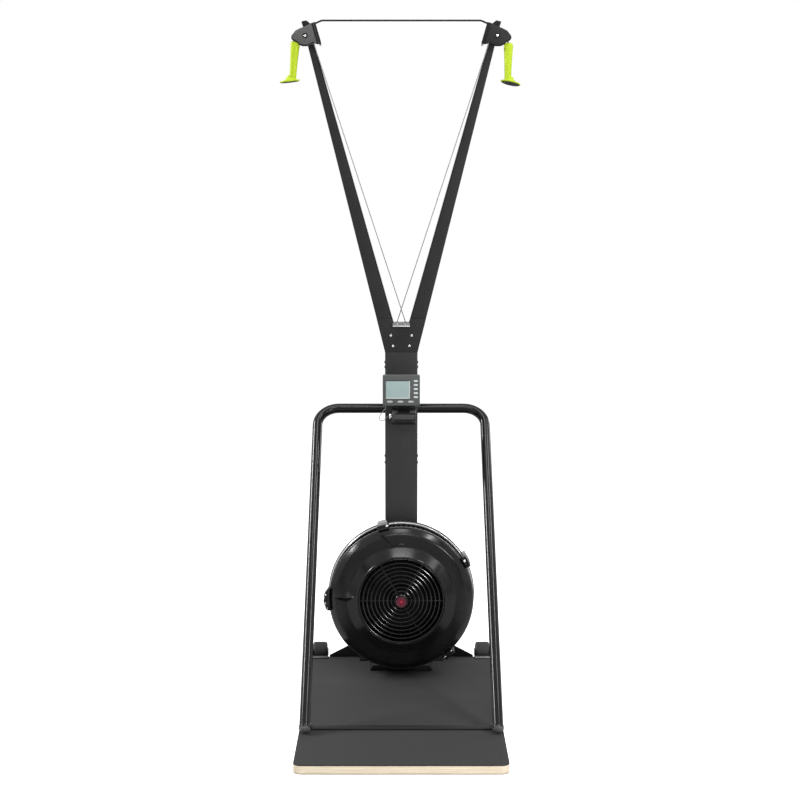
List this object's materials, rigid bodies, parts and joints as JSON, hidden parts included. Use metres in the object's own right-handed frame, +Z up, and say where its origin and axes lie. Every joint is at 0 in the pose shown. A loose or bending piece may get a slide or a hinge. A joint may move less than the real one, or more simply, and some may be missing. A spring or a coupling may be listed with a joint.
{
  "type": "ski trainer machine",
  "caption": "Upright air-resistance ski trainer: platform, leaning side tube, column, spread arms, pull handles on cords, drum fan and tilting monitor.",
  "frame": {"origin": "on the floor under the middle of the whole machine's box", "axes": "+Z up, -Y towards the person who pulls the handles, +X to that person's right"},
  "size_m": [0.7656, 1.2518, 2.1407],
  "materials": {
    "plywood": "satin",
    "mat_rubber": "matte",
    "black_paint": "satin",
    "gloss_tube": "gloss",
    "arm_paint": "satin",
    "black_plastic": "satin",
    "housing_plastic": "satin",
    "grey_plastic": "satin",
    "lime_grip": "matte",
    "cord_grey": "woven",
    "steel": "bright",
    "alloy": "satin",
    "red_badge": "gloss",
    "monitor_shell": "satin",
    "screen_face": "gloss",
    "key_grey": "satin",
    "wheel_rubber": "matte"
  },
  "bodies": {
    "root": {"platform_board": "plywood", "platform_mat": "mat_rubber", "cross_strap": "black_paint", "side_frame": "gloss_tube", "frame_foot_left": "gloss_tube", "frame_foot_right": "gloss_tube", "frame_clamp": "black_paint", "column": "black_paint", "column_foot": "black_plastic", "rear_gusset": "black_paint", "head_plate_front": "arm_paint", "head_bracket": "arm_paint", "cord_guide": "grey_plastic", "arm_left": "arm_paint", "arm_right": "arm_paint", "arm_cap_left": "black_plastic", "arm_cap_right": "black_plastic", "pulley_housing_left": "housing_plastic", "pulley_housing_right": "housing_plastic", "pulley_bolt_left": "steel", "pulley_bolt_right": "steel", "spreader_rod": "gloss_tube", "drive_cord_left": "cord_grey", "drive_cord_right": "cord_grey", "cord_end_left": "cord_grey", "cord_end_right": "cord_grey", "fan_front_shell": "black_plastic", "front_grille": "black_plastic", "hub_badge": "red_badge", "fan_rear_shell": "black_plastic", "fan_cage": "black_plastic", "bearing_housing": "black_paint", "axle_bearing": "steel", "monitor_bracket": "black_paint", "hinge_pin": "steel", "sensor_cable": "cord_grey", "wheel_bracket_left": "black_paint", "wheel_bracket_right": "black_paint"},
    "handle_left": {"handle_left": "lime_grip"},
    "handle_right": {"handle_right": "lime_grip"},
    "top_pulley_left": {"top_pulley_left": "black_plastic"},
    "top_pulley_right": {"top_pulley_right": "black_plastic"},
    "drive_spool_left": {"drive_spool_left": "black_plastic"},
    "drive_spool_right": {"drive_spool_right": "black_plastic"},
    "flywheel": {"fan_wheel": "alloy", "main_axle": "steel"},
    "damper": {"damper_ring": "black_plastic"},
    "monitor": {"monitor_case": "monitor_shell", "monitor_screen": "screen_face", "monitor_neck": "black_plastic"},
    "side_key_1": {"side_key_1": "key_grey"},
    "side_key_2": {"side_key_2": "key_grey"},
    "side_key_3": {"side_key_3": "key_grey"},
    "side_key_4": {"side_key_4": "key_grey"},
    "side_key_5": {"side_key_5": "key_grey"},
    "lower_key_left": {"lower_key_left": "key_grey"},
    "lower_key_middle": {"lower_key_middle": "key_grey"},
    "lower_key_right": {"lower_key_right": "key_grey"},
    "transport_wheel_left": {"transport_wheel_left": "wheel_rubber"},
    "transport_wheel_right": {"transport_wheel_right": "wheel_rubber"}
  },
  "joints": [
    {"name": "handle_left_pull", "type": "slide", "parent": "root", "child": "handle_left", "axis": [0, 0, -1], "range_m": [0, 1.15], "stiffness_N_per_m": 12, "springref_m": -0.6, "deforming": ["cord_end_left"]},
    {"name": "handle_right_pull", "type": "slide", "parent": "root", "child": "handle_right", "axis": [0, 0, -1], "range_m": [0, 1.15], "stiffness_N_per_m": 12, "springref_m": -0.6, "deforming": ["cord_end_right"]},
    {"name": "top_pulley_left_spin", "type": "hinge", "parent": "root", "child": "top_pulley_left", "pos_m": [-0.3053, 0.4044, 2.089], "axis": [0, 1, 0], "range_deg": [-3665, 0]},
    {"name": "top_pulley_right_spin", "type": "hinge", "parent": "root", "child": "top_pulley_right", "pos_m": [0.3053, 0.4044, 2.089], "axis": [0, 1, 0], "range_deg": [0, 3665]},
    {"name": "drive_spool_left_spin", "type": "hinge", "parent": "root", "child": "drive_spool_left", "pos_m": [0, 0.4461, 0.286], "axis": [0, 1, 0], "range_deg": [-3665, 0]},
    {"name": "drive_spool_right_spin", "type": "hinge", "parent": "root", "child": "drive_spool_right", "pos_m": [0, 0.4701, 0.286], "axis": [0, 1, 0], "range_deg": [-3665, 0]},
    {"name": "fan_spin", "type": "hinge", "parent": "root", "child": "flywheel", "pos_m": [0, 0.3341, 0.286], "axis": [0, 1, 0], "continuous": true},
    {"name": "damper_turn", "type": "hinge", "parent": "root", "child": "damper", "pos_m": [0, 0.3341, 0.286], "axis": [0, 1, 0], "range_deg": [0, 50]},
    {"name": "monitor_tilt", "type": "hinge", "parent": "root", "child": "monitor", "pos_m": [0, 0.3846, 0.87], "axis": [1, 0, 0], "range_deg": [-20, 40], "deforming": ["sensor_cable"]},
    {"name": "side_key_1_press", "type": "slide", "parent": "monitor", "child": "side_key_1", "axis": [0, 1, 0], "range_m": [0, 0.001], "stiffness_N_per_m": 300, "springref_m": -0.0005},
    {"name": "side_key_2_press", "type": "slide", "parent": "monitor", "child": "side_key_2", "axis": [0, 1, 0], "range_m": [0, 0.001], "stiffness_N_per_m": 300, "springref_m": -0.0005},
    {"name": "side_key_3_press", "type": "slide", "parent": "monitor", "child": "side_key_3", "axis": [0, 1, 0], "range_m": [0, 0.001], "stiffness_N_per_m": 300, "springref_m": -0.0005},
    {"name": "side_key_4_press", "type": "slide", "parent": "monitor", "child": "side_key_4", "axis": [0, 1, 0], "range_m": [0, 0.001], "stiffness_N_per_m": 300, "springref_m": -0.0005},
    {"name": "side_key_5_press", "type": "slide", "parent": "monitor", "child": "side_key_5", "axis": [0, 1, 0], "range_m": [0, 0.001], "stiffness_N_per_m": 300, "springref_m": -0.0005},
    {"name": "lower_key_left_press", "type": "slide", "parent": "monitor", "child": "lower_key_left", "axis": [0, 1, 0], "range_m": [0, 0.001], "stiffness_N_per_m": 300, "springref_m": -0.0005},
    {"name": "lower_key_middle_press", "type": "slide", "parent": "monitor", "child": "lower_key_middle", "axis": [0, 1, 0], "range_m": [0, 0.001], "stiffness_N_per_m": 300, "springref_m": -0.0005},
    {"name": "lower_key_right_press", "type": "slide", "parent": "monitor", "child": "lower_key_right", "axis": [0, 1, 0], "range_m": [0, 0.001], "stiffness_N_per_m": 300, "springref_m": -0.0005},
    {"name": "transport_wheel_left_roll", "type": "hinge", "parent": "root", "child": "transport_wheel_left", "pos_m": [-0.276, 0.5919, 0.0345], "axis": [1, 0, 0], "continuous": true},
    {"name": "transport_wheel_right_roll", "type": "hinge", "parent": "root", "child": "transport_wheel_right", "pos_m": [0.276, 0.5919, 0.0345], "axis": [1, 0, 0], "continuous": true}
  ],
  "couplings": [
    {"joint": "top_pulley_left_spin", "follows": "handle_left_pull", "rad_per_m": -55.556},
    {"joint": "top_pulley_right_spin", "follows": "handle_right_pull", "rad_per_m": 55.556},
    {"joint": "drive_spool_left_spin", "follows": "handle_left_pull", "rad_per_m": -55.556},
    {"joint": "drive_spool_right_spin", "follows": "handle_right_pull", "rad_per_m": -55.556}
  ]
}
